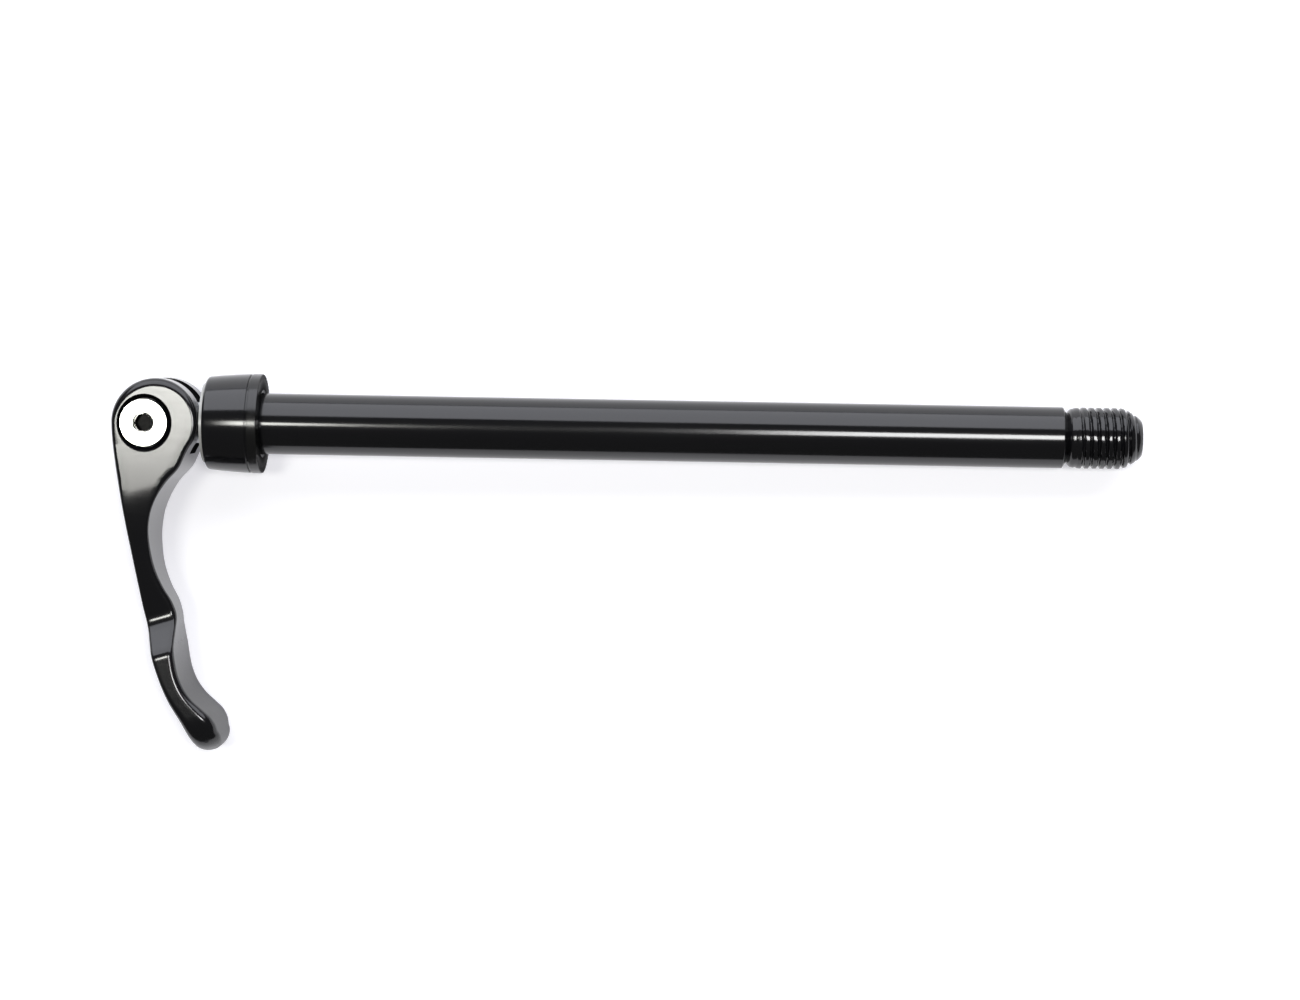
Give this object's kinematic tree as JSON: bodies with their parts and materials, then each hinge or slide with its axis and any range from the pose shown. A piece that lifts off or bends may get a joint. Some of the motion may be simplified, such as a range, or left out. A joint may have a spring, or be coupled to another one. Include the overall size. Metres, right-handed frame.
{
  "type": "thru axle",
  "caption": "Hollow bicycle thru axle with a threaded end, a tapered clamping collar with a seat washer, and a forked cam lever on a pivot screw.",
  "frame": {"origin": "on the axle's axis, in the plane of the seat washer's face that meets the frame", "axes": "+X along the axle to its threaded end, +Z along the lever's pivot, up from the surface the axle lies on; the closed lever points to -Y"},
  "size_m": [0.2004, 0.0742, 0.0196],
  "materials": {
    "axle_anodised": "gloss black anodised",
    "plated_steel": "zinc plated",
    "lever_anodised": "satin black anodised",
    "bright_steel": "bright plated",
    "acetal": "natural acetal",
    "collar_anodised": "gloss black anodised",
    "black_steel": "black oxide"
  },
  "bodies": {
    "axle": {"axle_shaft": "axle_anodised", "eye_bolt": "plated_steel"},
    "lever": {"cam_lever": "lever_anodised", "pivot_barrel": "bright_steel", "pivot_screw": "bright_steel"},
    "follower": {"cam_washer": "acetal"},
    "collar": {"tapered_collar": "collar_anodised", "seat_washer": "black_steel"}
  },
  "joints": [
    {"name": "lever_pivot", "type": "hinge", "parent": "axle", "child": "lever", "pos_m": [-0.0223, 0, 0], "axis": [0, 0, -1], "range_deg": [0, 180]},
    {"name": "collar_slide", "type": "slide", "parent": "axle", "child": "follower", "axis": [1, 0, 0], "range_m": [0, 0.0014]},
    {"name": "collar_spin", "type": "hinge", "parent": "follower", "child": "collar", "pos_m": [0, 0, 0], "axis": [1, 0, 0], "continuous": true}
  ]
}
